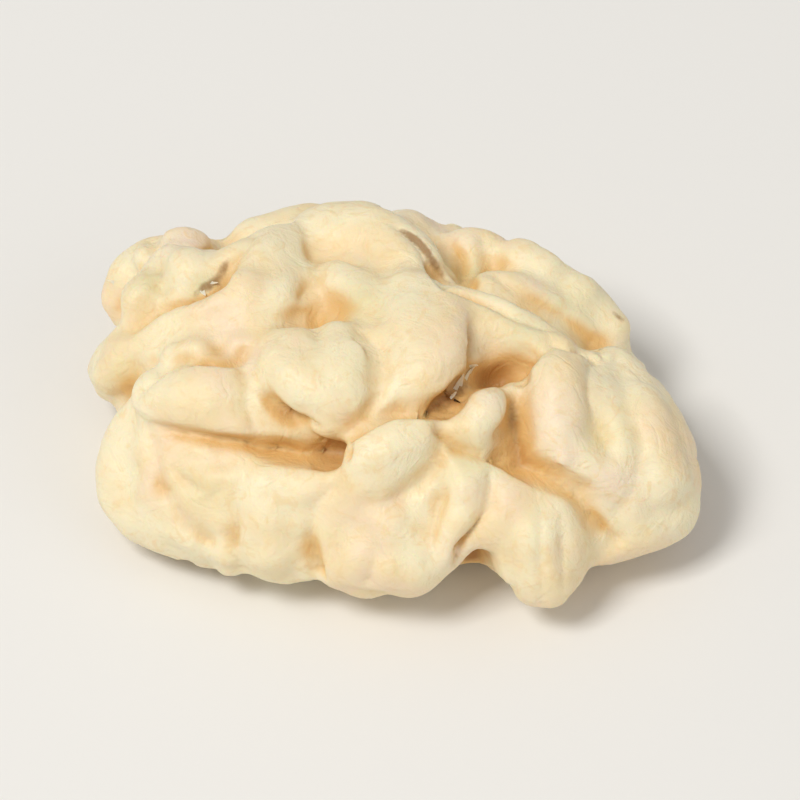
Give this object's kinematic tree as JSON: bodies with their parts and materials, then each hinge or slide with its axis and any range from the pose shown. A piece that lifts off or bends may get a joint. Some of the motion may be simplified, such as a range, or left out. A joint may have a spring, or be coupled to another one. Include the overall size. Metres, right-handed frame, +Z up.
{
  "type": "walnut kernel",
  "caption": "Peeled half of a walnut kernel with rounded brain-like folds, a deep cleft between its lobes, and a channelled flat side that it rests on.",
  "frame": {"origin": "on the surface the kernel rests on, under the middle of its box", "axes": "+X along the kernel's length towards its joined end, +Z up out of the folded dome, so the near lobe is at -Y"},
  "size_m": [0.0364, 0.0262, 0.0132],
  "materials": {
    "kernel": "soft waxy cream, warm orange in the clefts"
  },
  "bodies": {
    "root": {"walnut_kernel": "kernel"}
  },
  "joints": []
}
